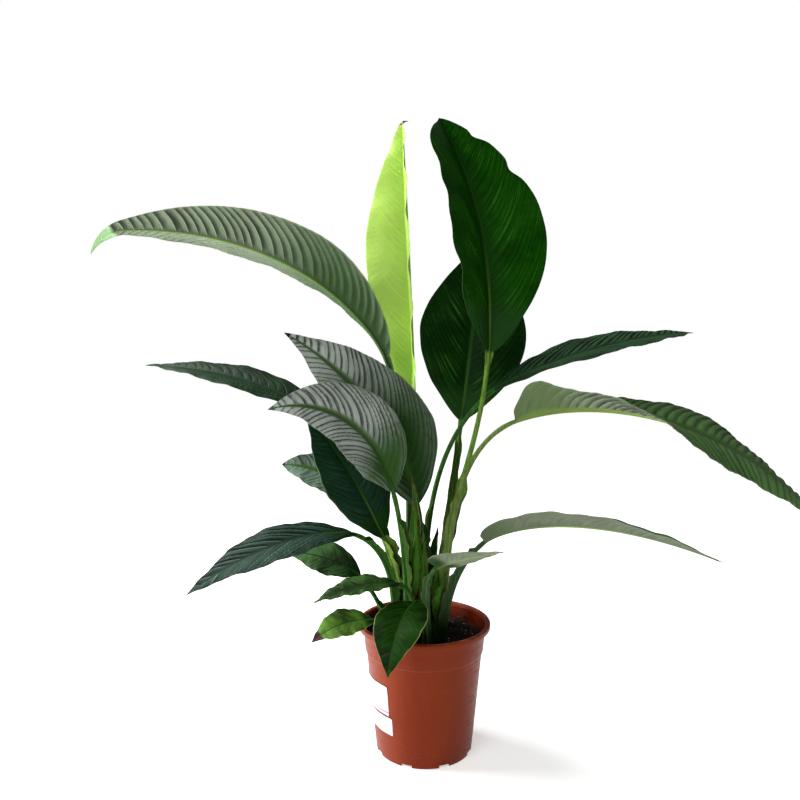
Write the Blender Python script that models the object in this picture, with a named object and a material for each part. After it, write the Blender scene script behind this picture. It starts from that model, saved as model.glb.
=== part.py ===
"""A large peace lily growing in a round plastic nursery pot, with two stickers on the pot.

Metres, +Z up. The origin is the middle of the pot's foot, on the surface that it stands on.
-Y is the front. A heading is measured from the front: 0 comes forward, 90 goes right, -90 left.
"""

import math
from typing import NamedTuple

import bmesh
import bpy
import numpy as np
from mathutils import Vector

GAP = 0.0003  # clearance between neighbouring solids

# The pot: a tapered, injection-moulded wall with a rolled rim, a collar and a notched foot.
POT_HEIGHT = 0.185
RIM_RADIUS = 0.095
RIM_DEPTH = 0.0075
RIM_LIP = 0.007  # how far the rolled rim stands out from the collar
COLLAR_DEPTH = 0.040
COLLAR_TAPER = 0.003
COLLAR_STEP = 0.0018  # how far the wall steps in under the collar
FOOT_RADIUS = 0.069
WALL = 0.0015
FLOOR_HEIGHT = 0.006  # from the surface up to the underside of the pot's floor
SKIRT = 0.004  # thickness of the ring that the pot stands on
HUB_RADIUS = 0.014
POT_SIDES = 96
NOTCHES = 8
NOTCH_WIDTH = 0.016
NOTCH_HEIGHT = 0.004
DRAIN_RADIUS = 0.0045
DRAIN_CIRCLE = 0.042

# The soil: one plug of potting mix that fills the pot to a little under its rim.
SOIL_TOP = 0.163
SOIL_MOUND = 0.004

# The stickers, wrapped round the left of the wall: bottom and top edge, first and last heading.
STICKER_THICKNESS = 0.00015
STICKERS = {
    "label_upper": (0.070, 0.1125, -108.75, -41.25),
    "label_lower": (0.042, 0.067, -101.25, -37.5),
}

# What every leaf shares.
SHEET = 0.0009  # thickness of a blade
STALK_DEPTH = 0.022  # how far a stalk goes down into the soil
SOCKET_EXTRA = 0.0005  # how much wider its socket is
NECK_RADIUS = 0.0030  # of the midrib where the blade starts
TIP_RADIUS = 0.0009
STALK_RINGS = 9
BLADE_RINGS = 15


class Leaf(NamedTuple):
    """One stalk with its blade. Lengths are in metres and angles in degrees."""

    root: tuple  # x and y where the stalk leaves the soil
    heading: float  # the way that the leaf leans
    stalk: tuple  # length above the soil, radius at the foot
    blade: tuple  # length, width, share of the length where it is widest
    pitch: tuple  # slope of the stalk's foot, of the blade's base and of its tip
    late: tuple = (2.0, 0.8)  # over 1, the stalk or the blade bends late; under 1, early
    sway: tuple = (0, 0, 0)  # lean towards the leaf's own left at the same three places
    roll: tuple = (0, 0)  # how far its left half is lifted, at the base and at the tip
    fold: tuple = (30, 10)  # how far both halves are folded up, at the base and at the tip
    hook: float = 0  # further droop of the blade's last eighth
    taper: float = 1.15  # over 1, the tip is drawn out; under 1, it is blunt
    blunt: float = 0.85  # under 0.5, the blade's base is square-shouldered
    twist: float = 1.0  # share of the blade over which it rolls
    belly: float = 0  # further lean halfway up the stalk, towards the leaf's own left
    lobe: tuple = (1, 0.5, 0.0, 0.1)  # swelling of the margin: side, place, height and length


LEAVES = {
    "leaf_01": Leaf(
        root=(-0.024, 0.050),
        heading=-92,
        stalk=(0.405, 0.0050),
        blade=(0.515, 0.124, 0.34),
        pitch=(91, 66, -9),
        late=(3.2, 0.70),
        sway=(-3, 0, 3),
        roll=(40, 45),
        fold=(35, 25),
        hook=60,
    ),
    "leaf_02": Leaf(
        root=(-0.006, 0.052),
        heading=180,
        stalk=(0.335, 0.0045),
        blade=(0.482, 0.138, 0.50),
        pitch=(84, 79, 76),
        sway=(1, 1.5, 3),
        roll=(-50, -52),
        fold=(42, 40),
        hook=40,
    ),
    "leaf_03": Leaf(
        root=(0.012, 0.004),
        heading=180,
        stalk=(0.42, 0.0055),
        blade=(0.37, 0.185, 0.46),
        pitch=(87, 84, 74),
        sway=(-2, -4, 26),
        belly=-13,
        roll=(25, 30),
        fold=(35, 25),
        taper=0.8,
    ),
    "leaf_04": Leaf(
        root=(0.016, 0.044),
        heading=180,
        stalk=(0.31, 0.0050),
        blade=(0.29, 0.166, 0.45),
        pitch=(84, 77, 80),
        sway=(-8, -8, -6),
        roll=(5, 5),
        fold=(14, 10),
    ),
    "leaf_05": Leaf(
        root=(-0.002, 0.032),
        heading=95,
        stalk=(0.382, 0.0045),
        blade=(0.400, 0.100, 0.40),
        pitch=(88, 35, 2),
        late=(2.5, 0.5),
        sway=(0, 0, 36),
        roll=(12, 16),
        fold=(8, 5),
    ),
    "leaf_06": Leaf(
        root=(0.024, -0.012),
        heading=85,
        stalk=(0.345, 0.0055),
        blade=(0.475, 0.122, 0.50),
        pitch=(86, 20, -50),
        late=(3.5, 0.8),
        blunt=0.35,
        twist=0.55,
        lobe=(-1, 0.07, 0.022, 0.05),
        roll=(-32, 26),
        fold=(35, -25),
    ),
    "leaf_07": Leaf(
        root=(0.026, -0.030),
        heading=62,
        stalk=(0.17, 0.0045),
        blade=(0.305, 0.074, 0.42),
        pitch=(86, 40, -17),
        late=(1.5, 0.5),
        blunt=0.35,
        roll=(-16, -12),
        fold=(27, 20),
    ),
    "leaf_08": Leaf(
        root=(0.006, -0.049),
        heading=55,
        stalk=(0.130, 0.0040),
        blade=(0.108, 0.054, 0.18),
        pitch=(88, 30, 16),
        late=(5.0, 0.5),
        sway=(-10, -6, 0),
        blunt=0.35,
        roll=(-28, -24),
        fold=(8, 4),
    ),
    "leaf_09": Leaf(
        root=(0.002, 0.010),
        heading=-84,
        stalk=(0.19, 0.0050),
        blade=(0.318, 0.142, 0.38),
        pitch=(94, 78, 30),
        late=(1.0, 0.9),
        roll=(-58, -52),
        fold=(12, 8),
    ),
    "leaf_10": Leaf(
        root=(-0.024, -0.030),
        heading=-66,
        stalk=(0.22, 0.0050),
        blade=(0.232, 0.122, 0.34),
        pitch=(89, 74, -14),
        late=(2.0, 1.2),
        roll=(-60, -55),
        fold=(15, 10),
    ),
    "leaf_11": Leaf(
        root=(-0.038, 0.034),
        heading=-110,
        stalk=(0.332, 0.0045),
        blade=(0.352, 0.086, 0.45),
        pitch=(84, 41, 0),
        late=(1.9, 0.5),
        roll=(-15, -15),
        fold=(5, 5),
    ),
    "leaf_12": Leaf(
        root=(-0.030, 0.010),
        heading=-94,
        stalk=(0.205, 0.0040),
        blade=(0.133, 0.070, 0.50),
        pitch=(86, 54, 2),
        late=(1.5, 0.7),
        roll=(-35, -35),
        fold=(5, 5),
        taper=0.8,
    ),
    "leaf_13": Leaf(
        root=(-0.026, -0.004),
        heading=-88,
        stalk=(0.15, 0.0045),
        blade=(0.215, 0.115, 0.45),
        pitch=(86, 66, 52),
        late=(1.2, 1.0),
        roll=(-45, -45),
        fold=(10, 8),
    ),
    "leaf_14": Leaf(
        root=(-0.044, -0.018),
        heading=-60,
        stalk=(0.183, 0.0045),
        blade=(0.240, 0.074, 0.45),
        pitch=(92, 21, -31),
        late=(2.0, 0.6),
        roll=(-16, -16),
        fold=(4, 3),
    ),
    "leaf_15": Leaf(
        root=(-0.052, 0.008),
        heading=-95,
        stalk=(0.095, 0.0035),
        blade=(0.115, 0.052, 0.45),
        pitch=(80, 45, 0),
        late=(1.0, 0.6),
        roll=(-40, -40),
        fold=(5, 5),
    ),
    "leaf_16": Leaf(
        root=(-0.018, -0.047),
        heading=-74,
        stalk=(0.100, 0.0035),
        blade=(0.120, 0.046, 0.42),
        pitch=(96, 18, -25),
        late=(3.0, 0.7),
        roll=(-10, -10),
        fold=(5, 5),
    ),
    "leaf_17": Leaf(
        root=(-0.040, -0.036),
        heading=-66,
        stalk=(0.055, 0.0032),
        blade=(0.092, 0.050, 0.45),
        pitch=(75, 20, -35),
        late=(1.0, 0.8),
        roll=(-20, -20),
        fold=(5, 5),
    ),
    "leaf_18": Leaf(
        root=(0.001, -0.034),
        heading=-22,
        stalk=(0.086, 0.0038),
        blade=(0.130, 0.066, 0.45),
        pitch=(86, 15, -75),
        late=(2.0, 0.9),
        fold=(5, 5),
    ),
    "young_leaf": Leaf(
        root=(-0.008, -0.017),
        heading=-100,
        stalk=(0.12, 0.0042),
        blade=(0.115, 0.022, 0.35),
        pitch=(88, 88, 86),
        roll=(-10, -10),
        fold=(70, 70),
    ),
}


def smooth_step(values):
    t = np.clip(values, 0, 1)
    return t * t * (3 - 2 * t)


def spine(leaf, stations):
    """Points, left, up and along vectors at each station: 0 to 1 is the stalk, 1 to 2 the blade."""
    fine = np.linspace(0, 2, 401)
    on_stalk = np.clip(fine, 0, 1)
    on_blade = np.clip(fine - 1, 0, 1)
    foot, base, tip = leaf.pitch
    stalk_late, blade_late = leaf.late
    pitch = foot + (base - foot) * on_stalk**stalk_late + (tip - base) * on_blade**blade_late
    pitch = pitch - leaf.hook * np.clip(on_blade * 8 - 7, 0, 1)
    foot, base, tip = leaf.sway
    sway = foot + (base - foot) * on_stalk + (tip - base) * on_blade
    sway = sway + leaf.belly * np.sin(math.pi * on_stalk)
    pitch, sway, heading = np.radians(pitch), np.radians(sway), math.radians(leaf.heading)
    outward = np.array([math.sin(heading), -math.cos(heading), 0])
    leftward = np.array([math.cos(heading), math.sin(heading), 0])
    level = np.cos(pitch)[:, None] * outward + np.sin(pitch)[:, None] * np.array([0, 0, 1])
    along = np.cos(sway)[:, None] * level + np.sin(sway)[:, None] * leftward
    left = np.cos(sway)[:, None] * leftward - np.sin(sway)[:, None] * level
    up = np.cross(along, left)
    length = np.where(fine < 1, leaf.stalk[0], leaf.blade[0])
    steps = along * (length * (fine[1] - fine[0]))[:, None]
    points = np.cumsum(steps, axis=0) - steps
    points += np.array([leaf.root[0], leaf.root[1], SOIL_TOP])
    columns = [points, left, up, along]
    return [
        np.stack([np.interp(stations, fine, part[:, axis]) for axis in range(3)], axis=1)
        for part in columns
    ]


def leaf_rings(leaf, stations, spread=0.0):
    """Closed rings of points round the leaf, one per station, each widened by spread."""
    points, left, up, along = spine(leaf, stations)
    on_stalk = np.clip(stations, 0, 1)
    on_blade = np.clip(stations - 1, 0, 1)
    widest = leaf.blade[2]
    before = np.sin(np.minimum(on_blade / widest, 1) * math.pi / 2) ** leaf.blunt
    after = np.cos(np.clip((on_blade - widest) / (1 - widest), 0, 1) * math.pi / 2) ** leaf.taper
    width = leaf.blade[1] / 2 * before * after
    lobe_side, where, height, length = leaf.lobe
    lobe = height * np.exp(-(((on_blade - where) / length) ** 2)) * smooth_step(on_blade / 0.05)
    core = leaf.stalk[1] + (NECK_RADIUS - leaf.stalk[1]) * on_stalk
    core += (TIP_RADIUS - NECK_RADIUS) * on_blade**0.7
    core += spread
    groove = 1 - 0.85 * smooth_step(on_blade / 0.12)
    folded = smooth_step(on_stalk * 2 - 1)
    fold = np.radians(leaf.fold[0] + (leaf.fold[1] - leaf.fold[0]) * on_blade) * folded
    rolled = np.minimum(on_blade / leaf.twist, 1)
    roll = np.radians(leaf.roll[0] + (leaf.roll[1] - leaf.roll[0]) * rolled) * on_stalk
    left, up = (
        left * np.cos(roll)[:, None] + up * np.sin(roll)[:, None],
        up * np.cos(roll)[:, None] - left * np.sin(roll)[:, None],
    )
    upper, lower = [], []
    for side, share, inner in (
        (1, 1.0, 1.0),
        (1, 0.5, 0.9),
        (1, 0.0, 0.6),
        (0, 0.0, 0.0),
        (-1, 0.0, 0.6),
        (-1, 0.5, 0.9),
        (-1, 1.0, 1.0),
    ):
        reach = core * inner + (width + lobe * (side == lobe_side)) * share
        out = side * reach * np.cos(fold)
        rise = reach * np.sin(fold)
        centre = points + left * out[:, None] + up * rise[:, None]
        normal = up * np.cos(side * fold)[:, None] - left * np.sin(side * fold)[:, None]
        round_part = np.sqrt(np.maximum(core**2 - reach**2, 0))
        above = np.maximum(SHEET / 2, round_part * groove)
        below = np.maximum(SHEET / 2, round_part)
        upper.append(centre + normal * above[:, None])
        lower.append(centre - normal * below[:, None])
    return np.stack(upper + lower[::-1], axis=1)


def solid_from_rings(rings):
    """Vertices and faces of a closed tube with flat ends."""
    count, around, _ = rings.shape
    faces = []
    for ring in range(count - 1):
        for corner in range(around):
            after = (corner + 1) % around
            a, b = ring * around + corner, ring * around + after
            faces.append((a, b, b + around, a + around))
    faces.append(tuple(range(around))[::-1])
    faces.append(tuple(range((count - 1) * around, count * around)))
    return [tuple(point) for point in rings.reshape(-1, 3)], faces


def leaf_solid(leaf):
    stalk = np.linspace(0, 1, STALK_RINGS)[:-1]
    blade = 1 + np.linspace(0, 1, BLADE_RINGS) ** 1.1
    rings = leaf_rings(leaf, np.concatenate([stalk, blade]))
    return solid_from_rings(np.concatenate([buried_ring(leaf, rings, STALK_DEPTH), rings]))


def buried_ring(leaf, rings, depth):
    """A copy of the first ring, moved back down the stalk into the soil."""
    _, _, _, along = spine(leaf, np.array([0.0]))
    return rings[:1] - along[0] * depth


def socket_solid(leaf):
    """The cutter that clears the soil round a stalk."""
    reach = 0.045 / leaf.stalk[0]
    rings = leaf_rings(leaf, np.linspace(0, reach, 4), SOCKET_EXTRA)
    return solid_from_rings(
        np.concatenate([buried_ring(leaf, rings, STALK_DEPTH + SOCKET_EXTRA), rings])
    )


def lathe_solid(profile, sides):
    """Turns a profile of (radius, height), which starts and ends on the axis, round that axis."""
    points, rings = [], []
    for radius, height in profile:
        if radius == 0:
            rings.append([len(points)] * sides)
            points.append((0, 0, height))
            continue
        rings.append(list(range(len(points), len(points) + sides)))
        for side in range(sides):
            angle = 2 * math.pi * side / sides
            points.append((radius * math.cos(angle), radius * math.sin(angle), height))
    faces = []
    for lower, upper in zip(rings, rings[1:]):
        for side in range(sides):
            after = (side + 1) % sides
            face = []
            for corner in (lower[side], lower[after], upper[after], upper[side]):
                if corner not in face:
                    face.append(corner)
            faces.append(face)
    return points, faces


def add_object(name, shape, material, smooth=True):
    mesh = bpy.data.meshes.new(name)
    mesh.from_pydata(shape[0], [], shape[1])
    work = bmesh.new()
    work.from_mesh(mesh)
    bmesh.ops.recalc_face_normals(work, faces=work.faces)
    bmesh.ops.triangulate(work, faces=work.faces)
    work.to_mesh(mesh)
    work.free()
    mesh.materials.append(material)
    if smooth:
        mesh.shade_smooth()
    thing = bpy.data.objects.new(name, mesh)
    bpy.context.collection.objects.link(thing)
    return thing


def cut(target, name, shape, material):
    cutter = add_object(name, shape, material)
    cutter.hide_render = True
    cutter.display_type = "WIRE"
    modifier = target.modifiers.new(name, "BOOLEAN")
    modifier.operation = "DIFFERENCE"
    modifier.solver = "EXACT"
    modifier.object = cutter


def box_solid(centre, size, turn):
    """A box turned round the vertical axis by an angle in radians."""
    points = []
    for x in (-0.5, 0.5):
        for y in (-0.5, 0.5):
            for z in (-0.5, 0.5):
                corner = Vector((x * size[0], y * size[1], z * size[2])) + Vector(centre)
                along = corner.x * math.cos(turn) - corner.y * math.sin(turn)
                across = corner.x * math.sin(turn) + corner.y * math.cos(turn)
                points.append((along, across, corner.z))
    faces = [(0, 1, 3, 2), (4, 6, 7, 5), (0, 4, 5, 1), (2, 3, 7, 6), (0, 2, 6, 4), (1, 5, 7, 3)]
    return points, faces


def add_material(name, colour, roughness, metallic=0.0):
    material = bpy.data.materials.new(name)
    material.use_nodes = True
    shader = material.node_tree.nodes["Principled BSDF"]
    shader.inputs["Base Color"].default_value = (*colour, 1)
    shader.inputs["Roughness"].default_value = roughness
    shader.inputs["Metallic"].default_value = metallic
    return material


for thing in list(bpy.data.objects):
    bpy.data.objects.remove(thing)

terracotta = add_material("pot_plastic", (0.25, 0.035, 0.008), 0.45)
potting_mix = add_material("potting_mix", (0.008, 0.006, 0.005), 0.95)
sticker = add_material("sticker", (0.85, 0.84, 0.83), 0.55)
mature = add_material("leaf_mature", (0.012, 0.055, 0.012), 0.35)
lime = add_material("leaf_lime", (0.30, 0.47, 0.06), 0.40)

# Pot.
collar_top = RIM_RADIUS - RIM_LIP
collar_foot = collar_top - COLLAR_TAPER
step_height = POT_HEIGHT - COLLAR_DEPTH
under_step = collar_foot - COLLAR_STEP
inner_floor = FLOOR_HEIGHT + WALL
pot_profile = [
    (0, 0),
    (HUB_RADIUS, 0),
    (HUB_RADIUS + 0.0008, FLOOR_HEIGHT),
    (FOOT_RADIUS - SKIRT, FLOOR_HEIGHT),
    (FOOT_RADIUS - SKIRT + 0.0005, 0),
    (FOOT_RADIUS - 0.0012, 0),
    (FOOT_RADIUS, 0.0012),
    (FOOT_RADIUS + 0.0010, 0.010),
    (under_step, step_height - 0.0012),
    (collar_foot, step_height),
    (collar_top, POT_HEIGHT - RIM_DEPTH),
    (RIM_RADIUS - 0.0010, POT_HEIGHT - RIM_DEPTH),
    (RIM_RADIUS, POT_HEIGHT - RIM_DEPTH + 0.0015),
    (RIM_RADIUS, POT_HEIGHT - 0.0025),
    (RIM_RADIUS - 0.0008, POT_HEIGHT - 0.0007),
    (RIM_RADIUS - 0.0028, POT_HEIGHT),
    (RIM_RADIUS - 0.0062, POT_HEIGHT - 0.0008),
    (collar_top - WALL, POT_HEIGHT - 0.0040),
    (collar_foot - WALL, step_height + 0.0010),
    (under_step - WALL, step_height - 0.0012),
    (FOOT_RADIUS + 0.0010 - WALL, inner_floor + 0.0020),
    (FOOT_RADIUS - WALL - 0.0010, inner_floor),
    (0, inner_floor),
]
pot = add_object("pot", lathe_solid(pot_profile, POT_SIDES), terracotta)
for index in range(NOTCHES):
    turn = 2 * math.pi * (index + 0.5) / NOTCHES
    notch = box_solid(
        (FOOT_RADIUS, 0, NOTCH_HEIGHT / 2 - 0.001),
        (0.016, NOTCH_WIDTH, NOTCH_HEIGHT + 0.002),
        turn,
    )
    cut(pot, f"notch_cutter_{index + 1}", notch, terracotta)
    drain_profile = [(0, 0), (DRAIN_RADIUS, 0), (DRAIN_RADIUS, 0.006), (0, 0.006)]
    points, faces = lathe_solid(drain_profile, 16)
    across, forward = DRAIN_CIRCLE * math.cos(turn), DRAIN_CIRCLE * math.sin(turn)
    points = [(x + across, y + forward, z + FLOOR_HEIGHT - 0.002) for x, y, z in points]
    cut(pot, f"drain_cutter_{index + 1}", (points, faces), terracotta)

# Soil, with a socket round each stalk.
taper = (under_step - FOOT_RADIUS - 0.0010) / (step_height - 0.0012 - 0.010)
soil_profile = [
    (0, inner_floor + GAP),
    (FOOT_RADIUS - WALL - 0.0010 - GAP, inner_floor + GAP),
    (FOOT_RADIUS - WALL + 0.0010 - 2 * GAP, inner_floor + 0.0026),
    (under_step - WALL - 2 * GAP, step_height - 0.0012),
    (collar_foot - WALL - 2 * GAP, step_height + 0.0016),
    (collar_foot - WALL, SOIL_TOP - 0.0020),
    (collar_foot - WALL - 0.0020, SOIL_TOP),
    (0.060, SOIL_TOP + SOIL_MOUND * 0.4),
    (0.035, SOIL_TOP + SOIL_MOUND * 0.9),
    (0, SOIL_TOP + SOIL_MOUND),
]
soil = add_object("soil", lathe_solid(soil_profile, 64), potting_mix)
for name, leaf in LEAVES.items():
    cut(soil, name.replace("leaf", "socket"), socket_solid(leaf), potting_mix)

# Stickers.
for name, (bottom, top, first, last) in STICKERS.items():
    steps = round((last - first) * POT_SIDES / 360)
    rings = []
    for step in range(steps + 1):
        angle = math.radians(first + step * 360 / POT_SIDES)
        outward = Vector((math.sin(angle), -math.cos(angle), 0))
        ring = []
        for height, lift in ((bottom, 0), (top, 0), (top, 1), (bottom, 1)):
            radius = FOOT_RADIUS + 0.0010 + taper * (height - 0.010)
            radius += GAP + lift * STICKER_THICKNESS
            ring.append(outward * radius + Vector((0, 0, height)))
        rings.append(ring)
    add_object(name, solid_from_rings(np.array(rings)), sticker, smooth=False)

# Leaves.
for name, leaf in LEAVES.items():
    add_object(name, leaf_solid(leaf), lime if name in ("leaf_02", "young_leaf") else mature)
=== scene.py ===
"""A large peace lily in a round plastic nursery pot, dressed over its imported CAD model.

Metres, +Z up, in the frame of the CAD model. The front of the plant is towards -Y.
A leaf's heading is measured from the front: 0 comes forward, 90 goes right, -90 left.
"""

import math
from typing import NamedTuple

import bmesh
import bpy
import numpy as np
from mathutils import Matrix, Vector


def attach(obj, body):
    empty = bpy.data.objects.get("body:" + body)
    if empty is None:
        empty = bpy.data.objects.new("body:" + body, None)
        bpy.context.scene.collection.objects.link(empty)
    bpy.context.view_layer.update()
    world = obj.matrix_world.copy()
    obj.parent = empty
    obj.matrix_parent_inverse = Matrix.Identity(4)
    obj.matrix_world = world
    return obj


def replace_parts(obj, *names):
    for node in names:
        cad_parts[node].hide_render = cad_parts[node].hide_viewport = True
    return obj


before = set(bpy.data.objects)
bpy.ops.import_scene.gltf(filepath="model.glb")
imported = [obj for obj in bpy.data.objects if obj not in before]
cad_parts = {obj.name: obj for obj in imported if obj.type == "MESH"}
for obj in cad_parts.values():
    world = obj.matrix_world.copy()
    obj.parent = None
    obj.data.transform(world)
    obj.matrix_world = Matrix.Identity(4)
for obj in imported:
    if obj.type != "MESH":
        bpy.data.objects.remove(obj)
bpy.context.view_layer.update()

# Viewpoint.
# The plant is seen from a metre away and a little over half its height, looking slightly
# down, so that the inside of the rim shows and the tallest leaf stays in the picture.
EYE = (-0.035, -1.06, 0.5776)
EYE_TILT = math.radians(86)
LENS = 33.75
SENSOR = 36

eye = bpy.data.objects.new("eye", bpy.data.cameras.new("eye"))
eye.data.lens = LENS
eye.data.sensor_width = SENSOR
eye.data.clip_start = 0.01
eye.data.clip_end = 60
eye.location = EYE
eye.rotation_euler = (EYE_TILT, 0, 0)
bpy.context.collection.objects.link(eye)
bpy.context.scene.camera = eye


# Studio.
# A pale floor that reaches far out, a white surround, one large soft window high on the left
# and behind, one beside the pot on the left, and a broad window in front on the left.
SURROUND_SEEN = 1.0
SURROUND_LIGHT = 0.20
FLOOR_REACH = 24.0
FLOOR_GLOW = 0.82  # keeps the far floor as pale as the surround
NEAR_GLOW = 0.5  # less, so that the pot's shadow shows
FLOOR_NEAR = 0.25
FLOOR_LIT = 2.6  # how far the windows light the floor
WINDOWS = {
    "window_high": ((-1.25, 0.55, 1.95), (-0.05, 0.0, 0.55), (1.2, 0.9), 62),
    "window_side": ((-1.35, 0.05, 0.50), (0.0, 0.0, 0.25), (0.4, 0.9), 24),
    "window_front": ((-1.3, -1.9, 1.5), (0.0, 0.0, 0.45), (1.4, 1.2), 26),
}


class Reading:
    """The output of a node, on which sums are written as on a number."""

    def __init__(self, bench, socket):
        self.bench = bench
        self.socket = socket

    def sum(self, operation, *values):
        return self.bench.add("ShaderNodeMath", {"operation": operation}, dict(enumerate(values)))

    def __add__(self, other):
        return self.sum("ADD", self, other)

    def __radd__(self, other):
        return self.sum("ADD", other, self)

    def __sub__(self, other):
        return self.sum("SUBTRACT", self, other)

    def __rsub__(self, other):
        return self.sum("SUBTRACT", other, self)

    def __mul__(self, other):
        return self.sum("MULTIPLY", self, other)

    def __rmul__(self, other):
        return self.sum("MULTIPLY", other, self)

    def __pow__(self, other):
        return self.sum("POWER", self, other)

    def __abs__(self):
        return self.sum("ABSOLUTE", self)

    def sine(self):
        return self.sum("SINE", self)

    def ramp(self, low, high):
        """0 below low, 1 above high, and a smooth rise between them."""
        settings = {"interpolation_type": "SMOOTHSTEP"}
        return self.bench.add("ShaderNodeMapRange", settings, {0: self, 1: low, 2: high})


class Bench:
    """A node tree, with one way to add a node to it."""

    def __init__(self, tree):
        self.tree = tree

    def add(self, kind, settings=None, sockets=None, output=0):
        """Adds a node, applies its settings, then fills or links its sockets."""
        node = self.tree.nodes.new(kind)
        for name, value in (settings or {}).items():
            setattr(node, name, value)
        for name, value in (sockets or {}).items():
            if isinstance(value, Reading):
                self.tree.links.new(value.socket, node.inputs[name])
            else:
                node.inputs[name].default_value = value
        return Reading(self, node.outputs[output])

    def mix(self, mask, first, second):
        """Goes from the first colour to the second as mask goes from 0 to 1."""
        settings = {"data_type": "RGBA", "clamp_factor": True}
        return self.add("ShaderNodeMix", settings, {0: mask, 6: first, 7: second}, output=2)

    def attribute(self, name):
        return self.add("ShaderNodeAttribute", {"attribute_name": name}, output=2)

    def place(self):
        return self.add("ShaderNodeTexCoord", output=3)

    def length(self, vector):
        return self.add("ShaderNodeVectorMath", {"operation": "LENGTH"}, {0: vector}, output=1)

    def height(self):
        return self.add("ShaderNodeSeparateXYZ", {}, {0: self.place()}, output=2)

    def stretched(self, scale):
        """The place on the piece, scaled differently along each axis."""
        return self.add("ShaderNodeMapping", {}, {"Vector": self.place(), "Scale": scale})

    def cloud(self, vector, scale, detail=2.0, roughness=0.5):
        """Soft random variation, from about 0.3 to 0.7."""
        sockets = {"Vector": vector, "Scale": scale, "Detail": detail, "Roughness": roughness}
        return self.add("ShaderNodeTexNoise", {}, sockets)


def paint(red, green, blue):
    """A colour mixed from 0 to 255 on a display, as the light that it reflects."""
    shares = [channel / 255 for channel in (red, green, blue)]
    return tuple(s / 12.92 if s <= 0.04045 else ((s + 0.055) / 1.055) ** 2.4 for s in shares) + (1,)


def toned(colour, share):
    """A lighter or darker batch of a colour."""
    return tuple(min(channel * share, 1) for channel in colour[:3]) + (1,)


def new_finish(name, specular=0.5, **fixed):
    """A Principled material without its varying inputs, its bench and its shader node."""
    material = bpy.data.materials.new(name)
    material.use_nodes = True
    shader = material.node_tree.nodes["Principled BSDF"]
    shader.inputs["Specular IOR Level"].default_value = specular
    for socket, value in fixed.items():
        shader.inputs[socket.replace("_", " ")].default_value = value
    return material, Bench(material.node_tree), shader


def apply_finish(bench, shader, colour, roughness, height, strength, distance):
    """Links what varies over the surface: colour, roughness and a bump."""
    sockets = {"Height": height, "Strength": strength, "Distance": distance}
    bump = bench.add("ShaderNodeBump", {}, sockets)
    bench.tree.links.new(colour.socket, shader.inputs["Base Color"])
    bench.tree.links.new(roughness.socket, shader.inputs["Roughness"])
    bench.tree.links.new(bump.socket, shader.inputs["Normal"])


def new_piece(name, points, faces, material, smooth=True):
    mesh = bpy.data.meshes.new(name)
    mesh.from_pydata([tuple(point) for point in points], [], faces)
    mesh.materials.append(material)
    if smooth:
        mesh.shade_smooth()
    piece = bpy.data.objects.new(name, mesh)
    bpy.context.collection.objects.link(piece)
    return piece


world = bpy.data.worlds.new("surround")
world.use_nodes = True
bpy.context.scene.world = world
surround = Bench(world.node_tree)
seen = surround.add("ShaderNodeLightPath")
brightness = SURROUND_LIGHT + (SURROUND_SEEN - SURROUND_LIGHT) * seen
background = world.node_tree.nodes["Background"]
background.inputs["Color"].default_value = (1, 1, 1, 1)
world.node_tree.links.new(brightness.socket, background.inputs["Strength"])
bpy.context.scene.view_settings.view_transform = "Standard"

for name, (place, target, size, power) in WINDOWS.items():
    lamp = bpy.data.lights.new(name, "AREA")
    lamp.shape = "RECTANGLE"
    lamp.size, lamp.size_y = size
    lamp.energy = power
    window = bpy.data.objects.new(name, lamp)
    window.location = place
    window.rotation_euler = (Vector(target) - Vector(place)).to_track_quat("-Z", "Y").to_euler()
    window.visible_camera = False
    bpy.context.collection.objects.link(window)

floor_finish, floor_bench, floor_shader = new_finish("floor_finish", specular=0.1, Emission_Strength=1.0)
far = floor_bench.length(floor_bench.place()).ramp(FLOOR_NEAR, FLOOR_LIT)
far_glow = floor_bench.mix(far, (NEAR_GLOW,) * 3 + (1,), (FLOOR_GLOW,) * 3 + (1,))
floor_bench.tree.links.new(far_glow.socket, floor_shader.inputs["Emission Color"])
dust = floor_bench.cloud(floor_bench.place(), 3.0, detail=4.0)
floor_colour = floor_bench.mix(dust, (0.93, 0.93, 0.93, 1), (0.97, 0.97, 0.97, 1))
apply_finish(floor_bench, floor_shader, floor_colour, 0.6 + 0.2 * dust, dust, 0.05, 0.001)
floor_corners = [(x * FLOOR_REACH, y * FLOOR_REACH, 0) for x, y in ((-1, -1), (1, -1), (1, 1), (-1, 1))]
floor = new_piece("studio_floor", floor_corners, [(0, 1, 2, 3)], floor_finish, smooth=False)


# Pot.
# An injection-moulded pot in terracotta-coloured plastic with a satin skin. Its rim is rolled
# over, a collar steps out under it, and notches and holes in its foot let water drain.
POT_HEIGHT = 0.185
RIM_RADIUS = 0.095
RIM_DEPTH = 0.0075
COLLAR_TOP = 0.088
COLLAR_FOOT = 0.085
STEP_HEIGHT = 0.145
UNDER_STEP = 0.0832
FOOT_RADIUS = 0.069
WALL = 0.0015
FLOOR_HEIGHT = 0.006
SKIRT = 0.004
HUB_RADIUS = 0.014
POT_SIDES = 240
NOTCHES = 8
NOTCH_WIDTH = 0.016
NOTCH_DEPTH = 0.016
NOTCH_HEIGHT = 0.004
DRAIN_RADIUS = 0.0045
DRAIN_CIRCLE = 0.042
DRILL_LENGTH = 0.008
FOOT_FLARE = 0.0010  # how far the wall starts outside the foot
FOOT_BAND = 0.010  # height at which it starts
STEP_ROUND = 0.0014  # depth of the slope under the collar
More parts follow.
